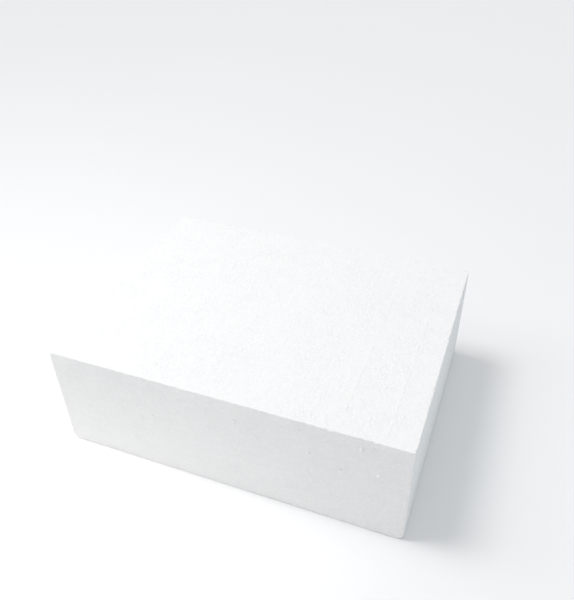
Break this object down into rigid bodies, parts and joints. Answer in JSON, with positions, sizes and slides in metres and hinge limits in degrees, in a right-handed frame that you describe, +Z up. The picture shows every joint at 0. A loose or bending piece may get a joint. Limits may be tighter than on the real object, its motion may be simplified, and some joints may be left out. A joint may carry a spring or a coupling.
{
  "type": "floral foam brick",
  "caption": "White dry floral foam brick: a hot-wire-cut rectangular block of expanded polystyrene, with bead-textured faces and a few loose beads in its front face.",
  "frame": {"origin": "centre of the underside, on the surface the block lies on", "axes": "+X along the block's length, to the right as the front face is seen; +Y from the front face, which holds the loose beads, to the back; +Z up through the thickness"},
  "size_m": [0.3, 0.2319, 0.102],
  "materials": {
    "foam": "matte",
    "bead": "satin"
  },
  "bodies": {
    "root": {"foam_block": "foam", "loose_bead_1": "bead", "loose_bead_2": "bead", "loose_bead_3": "bead", "loose_bead_4": "bead", "loose_bead_5": "bead"}
  },
  "joints": []
}
